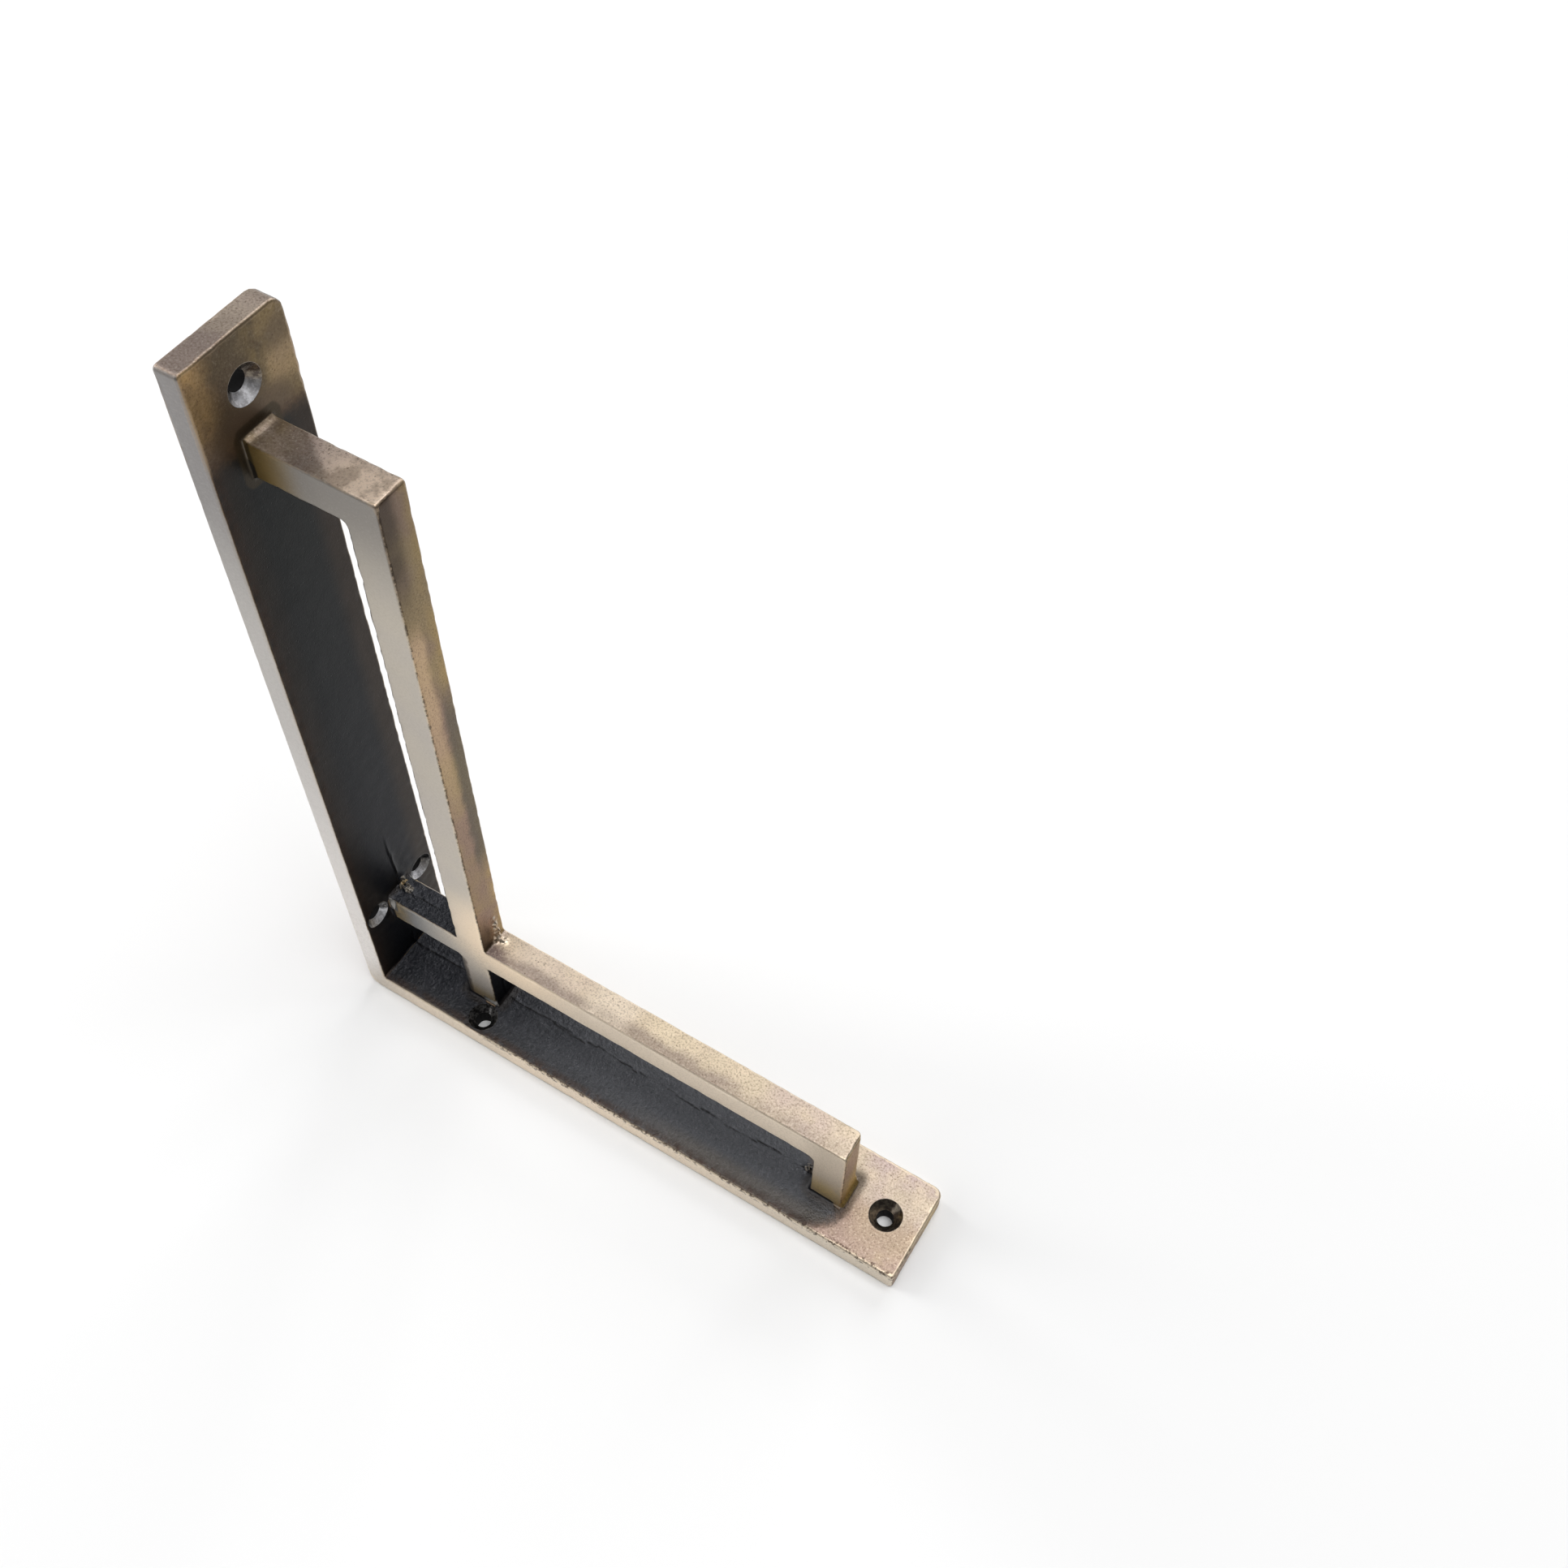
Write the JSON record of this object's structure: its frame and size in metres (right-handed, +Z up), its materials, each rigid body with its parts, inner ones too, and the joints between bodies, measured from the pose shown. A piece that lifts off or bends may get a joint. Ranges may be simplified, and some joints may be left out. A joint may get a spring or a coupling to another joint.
{
  "type": "fret-pattern shelf bracket",
  "caption": "L-shaped cast metal shelf bracket: flat screw straps with countersunk holes, and an open fret of crossing square bars in the corner, in an antique brass patina.",
  "frame": {"origin": "middle of the bounding box's underside, which is the short strap's outer face, as the bracket stands", "axes": "+Z up along the long strap, +X from the long strap's outer face out along the short strap, +Y across the straps towards the back"},
  "size_m": [0.1524, 0.025, 0.2032],
  "materials": {
    "antique_brass_patina": "sand-cast skin with an antique brass patina: bright worn edges, pale bronze outer faces and blackened inner faces, satin, with metal showing in the countersinks"
  },
  "bodies": {
    "root": {"bracket_casting": "antique_brass_patina"}
  },
  "joints": []
}
